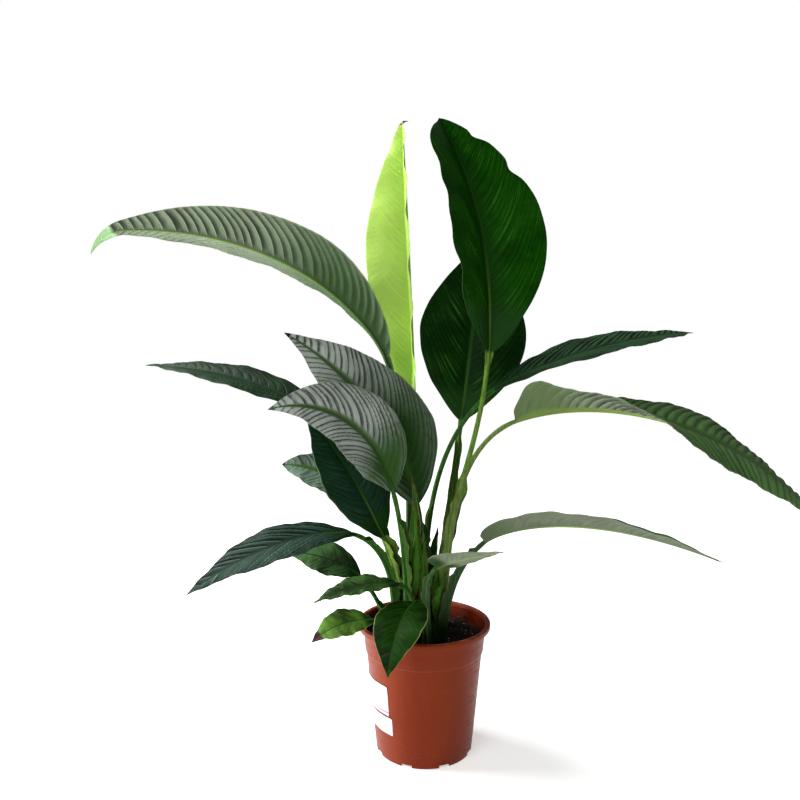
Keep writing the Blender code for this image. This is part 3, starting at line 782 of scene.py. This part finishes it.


LEAVES = {
    "leaf_01": Leaf(
        root=(-0.024, 0.050), heading=-92, stalk=(0.405, 0.0050), blade=(0.515, 0.124, 0.34),
        pitch=(91, 66, -9),
        skin=BACKED._replace(
            # The pale tip colour is painted light shining through the curled tip.
            under=(76, 88, 68), tip=(152, 192, 138), stalk=(36, 66, 20), midrib_under=(84, 110, 42),
            heel=(38, 64, 24), heel_reach=0.55, quilt=0.7, range=(0.32, 1.6),
        ),
        slant=(0.25, 0.75, 1.2, 0.3), late=(3.2, 0.70), sway=(-3, 0, 3), roll=(40, 45),
        fold=(35, 25), hook=60, skirt=(0.13, 0.006), wing=(0.5, 0.008), ribs=(0.0150, 0.0031),
        wave=(0.0010, 5), tip_share=0.095,
    ),
    "leaf_02": Leaf(
        root=(-0.006, 0.052), heading=180, stalk=(0.335, 0.0045), blade=(0.482, 0.138, 0.50),
        pitch=(84, 79, 76), skin=LIME._replace(upper=(150, 184, 72), under=(150, 184, 76)),
        slant=(0.6, 1.0), sway=(1, 1.5, 3), curl=-80, lobes=((1, 0.13, 0.010, 0.08),),
        roll=(-50, -52), fold=(42, 40), hook=40, ribs=(0.010, 0.0006), wave=(0.0018, 5), tip_share=0.035,
    ),
    "leaf_03": Leaf(
        root=(0.012, 0.004), heading=180, stalk=(0.42, 0.0055), blade=(0.37, 0.185, 0.46),
        pitch=(87, 84, 74), skin=DEEP, slant=(0.6, 0.9), skirt=(0.07, 0.005), sway=(-2, -4, 26),
        belly=-13, roll=(25, 30), fold=(35, 25), taper=0.8, ribs=(0.013, 0.0014),
        wave=(0.0022, 3.0),
        lobes=(
            (-1, 0.70, -0.009, 0.035), (-1, 0.87, -0.009, 0.03), (1, 0.86, 0.030, 0.09),
            (1, 0.16, 0.030, 0.09),
        ),
        wing=(0.5, 0.008), tip_share=0.0,
    ),
    "leaf_04": Leaf(
        root=(0.016, 0.044), heading=180, stalk=(0.31, 0.0050), blade=(0.29, 0.166, 0.45),
        pitch=(84, 77, 80), skin=DEEP._replace(upper=(9, 38, 5), stalk=(60, 92, 30)),
        slant=(0.6, 0.9), sway=(-8, -8, -6), roll=(5, 5), fold=(14, 10), ribs=(0.0125, 0.0014),
        wave=(0.0020, 3), wing=(0.85, 0.007), tip_share=0.0,
    ),
    "leaf_05": Leaf(
        root=(-0.002, 0.032), heading=95, stalk=(0.382, 0.0045), blade=(0.400, 0.100, 0.40),
        pitch=(88, 35, 2), skin=SLATE, skirt=(0.16, 0.006), slant=(1.6, 0.5), late=(2.5, 0.5),
        sway=(0, 0, 36), roll=(12, 16), fold=(8, 5), ribs=(0.016, 0.0018), tip_share=0.025,
    ),
    "leaf_06": Leaf(
        root=(0.024, -0.012), heading=85, stalk=(0.345, 0.0055), blade=(0.475, 0.122, 0.50),
        pitch=(86, 20, -50),
        skin=BACKED._replace(
            stalk=(92, 116, 48), upper=(66, 98, 50), under=(96, 110, 84),
            midrib_under=(136, 164, 68), heel=(88, 108, 66), quilt=0.5, lines=0.5, band=0.20,
        ),
        slant=(0.05, 0.5), late=(3.5, 0.8), blunt=0.35, lobes=((-1, 0.07, 0.022, 0.05),),
        twist=0.55, roll=(-32, 26), fold=(35, -25), ribs=(0.0130, 0.0030), wave=(0.0012, 7),
        wing=(0.55, 0.008),
    ),
    "leaf_07": Leaf(
        root=(0.026, -0.030), heading=62, stalk=(0.17, 0.0045), blade=(0.305, 0.074, 0.42),
        pitch=(86, 40, -17),
        skin=BACKED._replace(
            stalk=(28, 58, 14), under=(88, 98, 77), heel=(82, 98, 66), quilt=0.10, lines=0.15,
            fine=0.7, range=(0.6, 1.4),
        ),
        blunt=0.35, late=(1.5, 0.5), roll=(-16, -12), fold=(27, 20), ribs=(0.013, 0.0005),
        wing=(0.85, 0.007),
    ),
    "leaf_08": Leaf(
        root=(0.006, -0.049), heading=55, stalk=(0.130, 0.0040), blade=(0.108, 0.054, 0.18),
        pitch=(88, 30, 16),
        skin=BACKED._replace(
            under=(104, 114, 92), stalk=(34, 66, 20), quilt=0.15, lines=0.15, fine=0.7,
            range=(0.5, 1.5),
        ),
        blunt=0.35, late=(5.0, 0.5), sway=(-10, -6, 0), roll=(-28, -24), fold=(8, 4),
        wave=(0.0004, 3), ribs=(0.009, 0.0004), wing=(0.8, 0.006),
    ),
    "leaf_09": Leaf(
        root=(0.002, 0.010), heading=-84, stalk=(0.19, 0.0050), blade=(0.318, 0.142, 0.38),
        pitch=(94, 78, 30), skin=PAINTED_SHEEN._replace(heel=(30, 62, 16), heel_reach=0.80),
        late=(1.0, 0.9), curl=50, slant=(1.1, 0.3, 0.4, 0.9), roll=(-58, -52), fold=(12, 8),
        lobes=((-1, 0.25, 0.006, 0.18),), ribs=(0.0122, 0.0030), wing=(0.8, 0.009), tip_share=0.03,
    ),
    "leaf_10": Leaf(
        root=(-0.024, -0.030), heading=-66, stalk=(0.22, 0.0050), blade=(0.232, 0.122, 0.34),
        pitch=(89, 74, -14),
        skin=PAINTED_SHEEN._replace(tip=(60, 96, 50), heel=(50, 84, 34), heel_reach=0.45), late=(2.0, 1.2),
        slant=(1.2, 0.3, 0.5, 0.9), roll=(-60, -55), fold=(15, 10), ribs=(0.0118, 0.0028),
        wing=(0.75, 0.009),
    ),
    "leaf_11": Leaf(
        root=(-0.038, 0.034), heading=-110, stalk=(0.332, 0.0045), blade=(0.352, 0.086, 0.45),
        pitch=(84, 41, 0), skin=SLATE._replace(upper=(13, 31, 15)), slant=(1.6, 0.4, 0.5, 0.9),
        curl=-50, late=(1.9, 0.5), roll=(-15, -15), fold=(5, 5), ribs=(0.017, 0.0018),
    ),
    "leaf_12": Leaf(
        root=(-0.030, 0.010), heading=-94, stalk=(0.205, 0.0040), blade=(0.133, 0.070, 0.50),
        pitch=(86, 54, 2), skin=PAINTED_SHEEN._replace(upper=(84, 102, 90), quilt=0.5, lines=0.4),
        late=(1.5, 0.7), roll=(-35, -35), fold=(5, 5), taper=0.8, ribs=(0.010, 0.0018),
    ),
    "leaf_13": Leaf(
        root=(-0.026, -0.004), heading=-88, stalk=(0.15, 0.0045), blade=(0.215, 0.115, 0.45),
        pitch=(86, 66, 52),
        skin=DEEP._replace(upper=(26, 52, 36), vein_upper=(48, 76, 54), margin=(110, 126, 96)),
        late=(1.2, 1.0), roll=(-45, -45), fold=(10, 8), ribs=(0.010, 0.0007), wing=(0.95, 0.013),
    ),
    "leaf_14": Leaf(
        root=(-0.044, -0.018), heading=-60, stalk=(0.183, 0.0045), blade=(0.240, 0.074, 0.45),
        pitch=(92, 21, -31),
        skin=SLATE._replace(upper=(25, 41, 33), vein_upper=(104, 126, 114), lines=0.7, fine=1.2),
        slant=(1.7, 0.6), late=(2.0, 0.6), roll=(-16, -16), fold=(4, 3), ribs=(0.019, 0.0021),
        wing=(0.85, 0.007), tip_share=0.02,
    ),
    "leaf_15": Leaf(
        root=(-0.052, 0.008), heading=-95, stalk=(0.095, 0.0035), blade=(0.115, 0.052, 0.45),
        pitch=(80, 45, 0),
        skin=SLATE._replace(upper=(52, 78, 44), quilt=0.22, lines=0.3, fine=1.0, patchy=1.2),
        late=(1.0, 0.6), roll=(-40, -40), fold=(5, 5), ribs=(0.0085, 0.0014),
    ),
    "leaf_16": Leaf(
        root=(-0.018, -0.047), heading=-74, stalk=(0.100, 0.0035), blade=(0.120, 0.046, 0.42),
        pitch=(96, 18, -25),
        skin=SLATE._replace(upper=(50, 80, 34), quilt=0.25, lines=0.3, fine=1.0, patchy=1.0),
        late=(3.0, 0.7), roll=(-10, -10), fold=(5, 5), ribs=(0.008, 0.0014),
    ),
    "leaf_17": Leaf(
        root=(-0.040, -0.036), heading=-66, stalk=(0.055, 0.0032), blade=(0.092, 0.050, 0.45),
        pitch=(75, 20, -35),
        skin=FRESH._replace(
            upper=(58, 86, 28), quilt=0.1, lines=0.15, margin=(158, 166, 104), tip=(50, 30, 30),
            range=(0.4, 2.0),
        ),
        late=(1.0, 0.8), roll=(-20, -20), fold=(5, 5), ribs=(0.0085, 0.0006), tip_share=0.16,
    ),
    "leaf_18": Leaf(
        root=(0.001, -0.034), heading=-22, stalk=(0.086, 0.0038), blade=(0.130, 0.066, 0.45),
        pitch=(86, 15, -75),
        skin=FRESH._replace(quilt=0.08, lines=0.15, patchy=1.2, range=(0.4, 2.4)), late=(2.0, 0.9),
        fold=(5, 5), ribs=(0.0095, 0.0012), tip_share=0.012,
    ),
    "young_leaf": Leaf(
        root=(-0.008, -0.017), heading=-100, stalk=(0.12, 0.0042), blade=(0.115, 0.022, 0.35),
        pitch=(88, 88, 86),
        skin=LIME._replace(
            upper=(42, 76, 12), under=(40, 74, 14), stalk=(36, 70, 12), tip=(88, 58, 30), glow=0.04,
        ),
        roll=(-10, -10), fold=(70, 70), ribs=(0.006, 0.0002), bow=-0.1, wave=(0.0005, 3), tip_share=0.10,
    ),
}


def smooth_step(values):
    t = np.clip(values, 0, 1)
    return t * t * (3 - 2 * t)


def spine(leaf, stations):
    """Points, left, up and along vectors at each station: 0 to 1 is the stalk, 1 to 2 the blade."""
    fine = np.linspace(0, 2, 401)
    on_stalk = np.clip(fine, 0, 1)
    on_blade = np.clip(fine - 1, 0, 1)
    foot, base, tip = leaf.pitch
    stalk_late, blade_late = leaf.late
    pitch = foot + (base - foot) * on_stalk**stalk_late + (tip - base) * on_blade**blade_late
    pitch = pitch - leaf.hook * np.clip(on_blade * 8 - 7, 0, 1)
    foot, base, tip = leaf.sway
    sway = foot + (base - foot) * on_stalk + (tip - base) * on_blade
    sway = sway + leaf.belly * np.sin(math.pi * on_stalk) + leaf.curl * np.clip(on_blade * 25 - 24, 0, 1)
    pitch, sway, heading = np.radians(pitch), np.radians(sway), math.radians(leaf.heading)
    outward = np.array([math.sin(heading), -math.cos(heading), 0])
    leftward = np.array([math.cos(heading), math.sin(heading), 0])
    level = np.cos(pitch)[:, None] * outward + np.sin(pitch)[:, None] * np.array([0, 0, 1])
    along = np.cos(sway)[:, None] * level + np.sin(sway)[:, None] * leftward
    left = np.cos(sway)[:, None] * leftward - np.sin(sway)[:, None] * level
    up = np.cross(along, left)
    length = np.where(fine < 1, leaf.stalk[0], leaf.blade[0])
    steps = along * (length * (fine[1] - fine[0]))[:, None]
    points = np.cumsum(steps, axis=0) - steps
    points += np.array([leaf.root[0], leaf.root[1], SOIL_TOP])
    columns = [points, left, up, along]
    return [np.stack([np.interp(stations, fine, part[:, axis]) for axis in range(3)], axis=1)
            for part in columns]


def note_values(mesh, label, values, kind="FLOAT", key="value"):
    mesh.attributes.new(label, kind, "POINT").data.foreach_set(key, values.astype(np.float32))


def leaf_mesh(name, leaf, seed):
    """The closed skin of a stalk and its blade, with what the quilting and the finish read."""
    dice = np.random.default_rng(seed)
    length, width, widest = leaf.blade
    rows = int(np.clip(length / ROW_STEP, *ROW_LIMITS))
    stalk_rows = int(np.clip(leaf.stalk[0] / STALK_STEP, *STALK_LIMITS))
    stations = np.concatenate([np.linspace(0, 1, stalk_rows, endpoint=False),
                               1 + np.linspace(0, 1, rows) ** 1.06])
    points, left, up, along = spine(leaf, stations)
    on_stalk = np.clip(stations, 0, 1)
    on_blade = np.clip(stations - 1, 0, 1)
    roll = leaf.roll[0] + (leaf.roll[1] - leaf.roll[0]) * np.minimum(on_blade / leaf.twist, 1)
    roll = np.radians(roll) * on_stalk
    turned_left = left * np.cos(roll)[:, None] + up * np.sin(roll)[:, None]
    up = up * np.cos(roll)[:, None] - left * np.sin(roll)[:, None]
    left = turned_left

    before = np.sin(np.minimum(on_blade / widest, 1) * math.pi / 2) ** leaf.blunt
    after = np.cos(np.clip((on_blade - widest) / (1 - widest), 0, 1) * math.pi / 2) ** leaf.taper
    core = leaf.stalk[1] + (NECK_RADIUS - leaf.stalk[1]) * on_stalk
    core = core + (TIP_RADIUS - NECK_RADIUS) * on_blade**0.7
    core = core * (1 + 0.12 * np.exp(-(((on_stalk - 0.94) / 0.035) ** 2)) * (on_blade == 0))
    groove = 1 - 0.85 * smooth_step(on_blade / 0.12)
    folded = smooth_step(on_stalk * 2 - 1)
    fold = np.radians(leaf.fold[0] + (leaf.fold[1] - leaf.fold[0]) * on_blade) * folded
    wing_end, wing_width = leaf.wing
    ragged = 1 + 0.22 * np.sin(on_stalk * 37 + dice.uniform(0, 6)) + 0.12 * np.sin(on_stalk * 91)
    winged = (1 - smooth_step((on_stalk - wing_end) / 0.07)) * (on_blade == 0)
    wing = wing_width * winged * ragged
    fold = fold + WING_FOLD * winged
    run_down, skirt_width = leaf.skirt
    skirt = skirt_width * smooth_step((on_stalk - 1 + run_down) / run_down)
    skirt = skirt * (1 - smooth_step(on_blade / 0.15))

    half = int(np.clip(width / 2 / COLUMN_STEP, *COLUMN_LIMITS))
    q = np.append(np.linspace(0, 1, half + 1)[:-1], [0.992, 1.0])
    inner = np.sin(q * math.pi / 2)
    part = np.clip((q - 0.2) / 0.8, 0, 1) ** 1.35
    sheet, lateral, across, veins, rooms = [], [], [], [], []
    for side in (1, -1):
        swing = dice.uniform(0, 2 * math.pi)
        beat = dice.uniform(0, 2 * math.pi, 2)
        reach = width / 2 * before * after
        for lobe_side, where, height, spread in leaf.lobes:
            if lobe_side == side:
                lobe = height * np.exp(-(((on_blade - where) / spread) ** 2))
                lobe = lobe * smooth_step(on_blade / 0.05) * smooth_step((1 - on_blade) / 0.06)
                reach = np.maximum(reach + lobe, 0)
        reach = reach + wing + skirt
        x = reach[:, None] * part
        out = core[:, None] * inner + x * np.cos(fold)[:, None]
        rise = x * np.sin(fold)[:, None]
        arch = leaf.bow * reach[:, None] * 4 * part * (1 - part) * (on_blade > 0)[:, None]
        ends = smooth_step(on_blade / 0.12) * smooth_step((1 - on_blade) / 0.10)
        ripple = np.sin(2 * math.pi * leaf.wave[1] * on_blade + swing)
        ripple = ripple + 0.5 * np.sin(2 * math.pi * 2.3 * leaf.wave[1] * on_blade + 2 * swing)
        arch = arch + leaf.wave[0] * (ends * ripple)[:, None] * part**2.2
        centre = points[:, None] + side * left[:, None] * out[..., None] + up[:, None] * rise[..., None]
        lift = up[:, None] * np.cos(fold)[:, None, None]
        lift = lift - side * left[:, None] * np.sin(fold)[:, None, None]
        sheet.append(centre + lift * arch[..., None])
        lateral.append(core[:, None] * inner + x)
        across.append(side * part[None, :] * np.ones_like(x))
        spacing = leaf.ribs[0]
        lean, bend = leaf.slant[:2] if side > 0 else leaf.slant[-2:]
        shift = lean * x + bend * x**2 / (width / 2)
        start = on_blade[:, None] - shift / length
        drift = 0.22 * np.sin(19 * start + beat[0]) + 0.12 * np.sin(47 * start + beat[1])
        veins.append(start * length / spacing + drift + (0.5 if side < 0 else 0) + 40)
        room = smooth_step((x - 0.0015) / (0.10 * width)) * (1 - 0.75 * smooth_step(part * 8 - 7))
        rooms.append(room * (smooth_step(on_blade / 0.05) * smooth_step((1 - on_blade) / 0.10))[:, None])

    def joined_halves(parts):
        return np.concatenate([parts[0][:, ::-1], parts[1][:, 1:]], axis=1)

    sheet, lateral, across = joined_halves(sheet), joined_halves(lateral), joined_halves(across)
    veins, rooms = joined_halves(veins), joined_halves(rooms)
    face_up = np.cross(np.gradient(sheet, axis=0), -np.gradient(sheet, axis=1))
    face_up /= np.maximum(np.linalg.norm(face_up, axis=2, keepdims=True), 1e-12)
    face_up *= np.sign(np.sum(face_up * up[:, None], axis=2, keepdims=True) + 1e-9)
    bulge = np.sqrt(np.maximum(core[:, None] ** 2 - lateral**2, 0))
    above = np.maximum(SHEET / 2, bulge * groove[:, None])
    below = np.maximum(SHEET / 2, bulge)
    end_thin = (1 - 0.7 * smooth_step((on_blade - 0.97) / 0.03))[:, None]
    upper = sheet + face_up * (above * end_thin)[..., None]
    lower = sheet - face_up * (below * end_thin)[..., None]
    buried = -along[0] * STALK_DEPTH
    upper = np.concatenate([upper[:1] + buried, upper])
    lower = np.concatenate([lower[:1] + buried, lower])

    def with_foot(values):
        return np.concatenate([values[:1], values])

    count, wide = upper.shape[:2]
    total = count * wide
    index = np.arange(total).reshape(count, wide)
    low = index + total
    quads = [
        np.stack([index[:-1, :-1], index[:-1, 1:], index[1:, 1:], index[1:, :-1]], axis=-1),
        np.stack([low[:-1, :-1], low[1:, :-1], low[1:, 1:], low[:-1, 1:]], axis=-1),
        np.stack([index[:-1, :1], index[1:, :1], low[1:, :1], low[:-1, :1]], axis=-1),
        np.stack([index[:-1, -1:], low[:-1, -1:], low[1:, -1:], index[1:, -1:]], axis=-1),
    ]
    faces = [tuple(face) for block in quads for face in block.reshape(-1, 4).tolist()]
    tip_end, foot_end = 2 * total, 2 * total + 1
    loop = list(index[-1]) + list(low[-1][::-1])
    faces += [(int(a), int(b), tip_end) for a, b in zip(loop, loop[1:] + loop[:1])]
    loop = list(index[0]) + list(low[0][::-1])
    faces += [(int(b), int(a), foot_end) for a, b in zip(loop, loop[1:] + loop[:1])]
    tip_point = points[-1] + along[-1] * TIP_REACH
    foot_point = points[0] + buried
    cloud = np.concatenate([upper.reshape(-1, 3), lower.reshape(-1, 3), [tip_point, foot_point]])

    mesh = bpy.data.meshes.new(name)
    mesh.from_pydata(cloud.tolist(), [], faces)
    volume = bmesh.new()
    volume.from_mesh(mesh)
    if volume.calc_volume(signed=True) < 0:
        bmesh.ops.reverse_faces(volume, faces=volume.faces)
        volume.to_mesh(mesh)
    volume.free()
    mesh.shade_smooth()

    place = with_foot(np.where(stations < 1, stations - 1, on_blade)[:, None] * np.ones((1, wide)))
    changed = smooth_step((on_blade - 1 + 1.6 * leaf.tip_share) / max(1.2 * leaf.tip_share, 1e-6)) * (leaf.tip_share > 0)
    frayed = np.abs(across) * winged[:, None]
    values = {
        "across": with_foot(across),
        "along": place,
        "vein": with_foot(veins),
        "room": with_foot(rooms),
        "tip": with_foot(changed[:, None] * np.ones((1, wide))),
        "frayed": with_foot(frayed),
    }
    for label, grid in values.items():
        flat = np.concatenate([grid.ravel(), grid.ravel(), [grid[-1, wide // 2], grid[0, wide // 2]]])
        note_values(mesh, label, flat)
    note_values(mesh, "upper", np.concatenate([np.ones(total), np.zeros(total), [0.5, 0.5]]))
    rising = with_foot(face_up).reshape(-1, 3)
    rising = np.concatenate([rising, rising, np.zeros((2, 3))]).ravel()
    note_values(mesh, "rising", rising, "FLOAT_VECTOR", "vector")
    piece = bpy.data.objects.new(name + "_blank", mesh)
    bpy.context.collection.objects.link(piece)
    return piece


def leaf_finish(name, skin, shift):
    """Waxy leaf skin: two sides, veins, midrib, heel, margin, stalk, wings and changed tip."""
    material, bench, shader = new_finish(name + "_skin", specular=skin.specular)
    place = bench.place()
    upper = bench.attribute("upper").ramp(0.3, 0.7)
    along = bench.attribute("along")
    vein = bench.attribute("vein")
    out = abs(bench.attribute("across"))
    broad = bench.cloud(place, 17.0 + shift, detail=3.0)
    fleck = bench.cloud(place, 160.0, detail=4.0, roughness=0.65)
    cells = bench.cloud(place, 1400.0, detail=1.0)
    pillow = abs((vein * math.pi).sine())
    slope = vein.sum("FRACT", vein)
    run = bench.add("ShaderNodeCombineXYZ", {}, {0: vein * skin.threads, 1: out * 1.4, 2: upper * 9})
    fibres = bench.cloud(run, 1.0, detail=3.0, roughness=0.6)
    blade = along.ramp(-0.012, 0.004)
    low, high = skin.range
    stem = paint(*skin.stalk)
    dark = bench.mix(upper, toned(paint(*skin.under), low), toned(paint(*skin.upper), low))
    light = bench.mix(upper, toned(paint(*skin.under), high), toned(paint(*skin.upper), high))
    # Painted light and shade on the quilted ribs: each rib is lighter on one flank and darker towards the
    # next groove, as a light from one side would shade it.
    swell = 0.46 - slope.ramp(0.25, 1.0) * pillow.ramp(-0.3, 0.5)
    swell = swell * out.ramp(0.03, 0.2) * (1 - 0.4 * out.ramp(0.75, 1.0))
    tone = 0.5 + skin.patchy * 1.6 * (broad - 0.5) + 0.25 * (fleck - 0.5) + skin.quilt * swell
    tone = tone + skin.fine * (fibres - 0.5)
    # The tone carries random patchiness and fine veins, and also the painted shade of the ribs.
    body = bench.mix(tone.ramp(0.1, 0.9), dark, light)
    veins = bench.mix(upper, paint(*skin.vein_under), paint(*skin.vein_upper))
    line = (1 - pillow.ramp(0.02, 0.17)) * (skin.lines - 0.6 * skin.lines * out.ramp(0.55, 1.0))
    body = bench.mix(line * out.ramp(0.02, 0.10), body, veins)
    # Painted highlights: thin, broken light lines along the crests of the fine ridges.
    if skin.streak:
        crest_highlight = fibres.ramp(0.54, 0.70) * broad.ramp(0.38, 0.58)
        body = bench.mix(skin.streak * crest_highlight * out.ramp(0.08, 0.3), body, veins)
    heel = (1 - along.ramp(0.4 * skin.heel_reach, skin.heel_reach)) * (1 - 0.2 * out.ramp(0.3, 1.0))
    body = bench.mix(heel, body, paint(*skin.heel))
    midrib = bench.mix(upper, paint(*skin.midrib_under), paint(*skin.midrib_upper))
    midrib = bench.mix(0.7 * (1 - along.ramp(0.08, 0.45)), midrib, stem)
    body = bench.mix((1 - out.ramp(0.15 * skin.band, skin.band)) * 0.9, body, midrib)
    body = bench.mix(out.ramp(0.955, 0.99) * 0.7, body, paint(*skin.margin))
    grain = bench.cloud(bench.stretched((420, 420, 30)), 1.0, detail=3.0)
    stalk = bench.mix(grain.ramp(0.35, 0.68), toned(stem, 0.72), toned(stem, 1.25))
    low = 1 - along.ramp(-1.0, -0.55)
    stalk = bench.mix(0.75 * low, stalk, toned(stem, 0.45))
    body = bench.mix(blade, stalk, body)
    edge = bench.attribute("frayed") + 0.5 * (fleck - 0.5)
    body = bench.mix(0.85 * edge.ramp(0.86, 0.98), body, paint(*WING_EDGE))
    tip = bench.attribute("tip") + 0.5 * (broad - 0.5)
    body = bench.mix(tip.ramp(0.42, 0.62), body, paint(*skin.tip))
    roughness = skin.gloss + 0.16 * (1 - upper) + 0.16 * (fleck - 0.5) + 0.10 * broad
    living = 1 - bench.attribute("tip").ramp(0.2, 0.5)
    relief = (1.6 * fibres * blade + 0.04 * cells + 0.10 * fleck) * living
    apply_finish(bench, shader, body, roughness, relief, 0.30, 0.0006)
    if skin.glow:
        through = bench.add("ShaderNodeBsdfTranslucent", {}, {"Color": toned(paint(*skin.under), 1.3)})
        both = bench.add("ShaderNodeMixShader", {}, {0: skin.glow, 2: through})
        bench.tree.links.new(shader.outputs[0], both.socket.node.inputs[1])
        bench.tree.links.new(both.socket, material.node_tree.nodes["Material Output"].inputs[0])
    return material


bench, given = new_tree("vein_quilting", {"Height": "Float", "Sharpness": "Float", "Finish": "Material"})
vein = bench.add("GeometryNodeInputNamedAttribute", {"data_type": "FLOAT"}, {"Name": "vein"})
room = bench.add("GeometryNodeInputNamedAttribute", {"data_type": "FLOAT"}, {"Name": "room"})
rising = bench.add("GeometryNodeInputNamedAttribute", {"data_type": "FLOAT_VECTOR"}, {"Name": "rising"})
wobble = bench.add("ShaderNodeTexNoise", {}, {"Scale": 55.0, "Detail": 2.0})
pillow = abs((vein * math.pi).sine()) ** given["Sharpness"]
swell = given["Height"] * room * (pillow - 0.6 + 0.7 * (wobble - 0.5))
offset = bench.add("ShaderNodeVectorMath", {"operation": "SCALE"}, {0: rising, "Scale": swell})
quilted = bench.add("GeometryNodeSetPosition", {}, {"Geometry": given["Geometry"], "Offset": offset})
vein_quilting = close_tree(bench, quilted, given["Finish"])


def grow_leaf(name, leaf, seed, piece_name):
    finish = leaf_finish(name, leaf.skin, 0.7 * (seed % 7))
    blank = leaf_mesh(name, leaf, seed)
    values = {"Height": leaf.ribs[1], "Sharpness": QUILT_SHARPNESS, "Finish": finish}
    piece = made(blank, vein_quilting, values, piece_name)
    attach(piece, "root")
    "leaf_lime" if name in ("leaf_02", "young_leaf") else "leaf_mature"
    return piece


for number, (name, leaf) in enumerate(LEAVES.items()):
    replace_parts(grow_leaf(name, leaf, LEAF_SEED + number, name + "_grown"), name)


# Sheaths.
# Scale leaves with no blade stand round the stalks where they leave the soil. They are folded,
# pointed, and brown at their edges, and protect the next leaf while it grows.
SHEATH_SKIN = FRESH._replace(
    upper=(38, 76, 12), under=(44, 84, 18), stalk=(30, 62, 12), margin=(104, 78, 44),
    tip=(92, 64, 36), heel=(22, 50, 10), heel_reach=0.5, quilt=0.0, lines=0.0, patchy=0.5,
    range=(0.5, 1.8),
)
SHEATHS = {
    "sheath_1": ((-0.040, -0.012), -96, 0.215, 0.036, (92, 97, 99)),
    "sheath_2": ((0.003, -0.022), 100, 0.150, 0.030, (90, 91, 92)),
    "sheath_3": ((-0.016, -0.022), -90, 0.200, 0.026, (89, 91, 91)),
    "sheath_4": ((0.014, -0.008), 88, 0.130, 0.026, (88, 84, 80)),
    "sheath_5": ((-0.010, 0.030), -150, 0.180, 0.032, (88, 90, 92)),
    "sheath_6": ((0.012, 0.026), 130, 0.150, 0.028, (88, 86, 84)),
    "sheath_7": ((-0.030, -0.026), -94, 0.175, 0.030, (94, 96, 97)),
    "sheath_8": ((0.012, -0.030), 92, 0.105, 0.026, (84, 80, 76)),
}

for number, (name, (root, heading, tall, wide, pitch)) in enumerate(SHEATHS.items()):
    scale_leaf = Leaf(
        root=root, heading=heading, stalk=(0.03, 0.0036), blade=(tall - 0.03, wide, 0.42),
        pitch=pitch, skin=SHEATH_SKIN, fold=(62, 58), ribs=(0.02, 0.0003), bow=-0.22,
        wave=(0.0012, 5), wing=(1.2, 0.006), slant=(7.0, 0.0), tip_share=0.05,
    )
    grow_leaf(name, scale_leaf, SHEATH_SEED + number, name)
